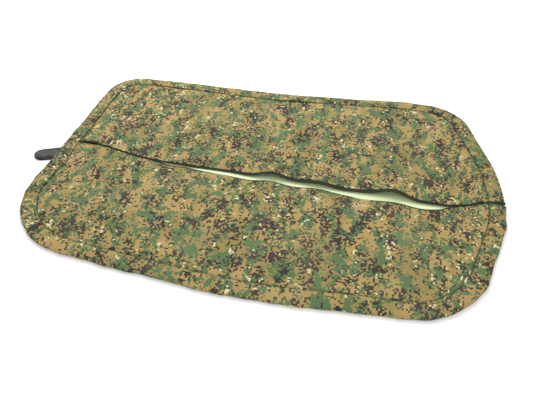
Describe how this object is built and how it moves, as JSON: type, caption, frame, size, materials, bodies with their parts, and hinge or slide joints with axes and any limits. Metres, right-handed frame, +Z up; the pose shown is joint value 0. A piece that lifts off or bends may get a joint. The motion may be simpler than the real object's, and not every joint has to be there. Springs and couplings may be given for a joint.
{
  "type": "bivy sack",
  "caption": "Flat-lying bivy sack with a stitched border strip, a lengthwise zipped opening through the foot edge, a coated lining and a webbing hang loop at the head.",
  "frame": {"origin": "middle of the footprint, on the ground", "axes": "+X from the head end, with the hang loop, to the foot end; +Y to the far side; +Z up"},
  "size_m": [2.24, 1.5226, 0.0393],
  "materials": {
    "camouflage_cloth": null,
    "coated_lining": "pale sage-green coated lining, satin",
    "olive_tape": "dark olive woven zip and binding tape",
    "coil_nylon": "dark olive nylon coil",
    "gunmetal": "dark painted zinc",
    "loop_webbing": "dark grey-green webbing with a slight gloss"
  },
  "bodies": {
    "root": {"floor_panel": "camouflage_cloth", "floor_lining": "coated_lining", "far_border_head": "camouflage_cloth", "far_border_foot": "camouflage_cloth", "near_border": "camouflage_cloth", "far_notch_hem": "olive_tape", "near_notch_hem": "olive_tape", "head_tape_end": "olive_tape", "far_coil_end": "coil_nylon", "near_coil_end": "coil_nylon", "head_stop": "gunmetal", "hang_loop_tail": "loop_webbing"},
    "far_flap": {"far_top_panel": "camouflage_cloth", "far_top_lining": "coated_lining", "far_tape": "olive_tape", "far_coil": "coil_nylon", "far_bottom_stop": "gunmetal"},
    "near_flap": {"near_top_panel": "camouflage_cloth", "near_top_lining": "coated_lining", "near_tape": "olive_tape", "near_coil": "coil_nylon", "near_bottom_stop": "gunmetal"},
    "slider": {"slider_body": "gunmetal"},
    "pull": {"pull_tab": "gunmetal", "pull_tape": "olive_tape"},
    "loop": {"hang_loop": "loop_webbing"}
  },
  "joints": [
    {"name": "far_flap_lift", "type": "hinge", "parent": "root", "child": "far_flap", "pos_m": [-0.2, 0.602, 0.028], "axis": [-0.9982, -0.0599, 0], "range_deg": [0, 25]},
    {"name": "near_flap_lift", "type": "hinge", "parent": "root", "child": "near_flap", "pos_m": [0, -0.645, 0.028], "axis": [1, 0, 0], "range_deg": [0, 25]},
    {"name": "slider_run", "type": "slide", "parent": "root", "child": "slider", "axis": [1, 0, 0], "range_m": [0, 1.924]},
    {"name": "pull_swing", "type": "hinge", "parent": "slider", "child": "pull", "pos_m": [-0.9117, 0, 0.0358], "axis": [0, -1, 0], "range_deg": [0, 170]},
    {"name": "loop_lift", "type": "hinge", "parent": "root", "child": "loop", "pos_m": [-1.0112, -0.096, 0.011], "axis": [0, 1, 0], "range_deg": [0, 90]}
  ]
}
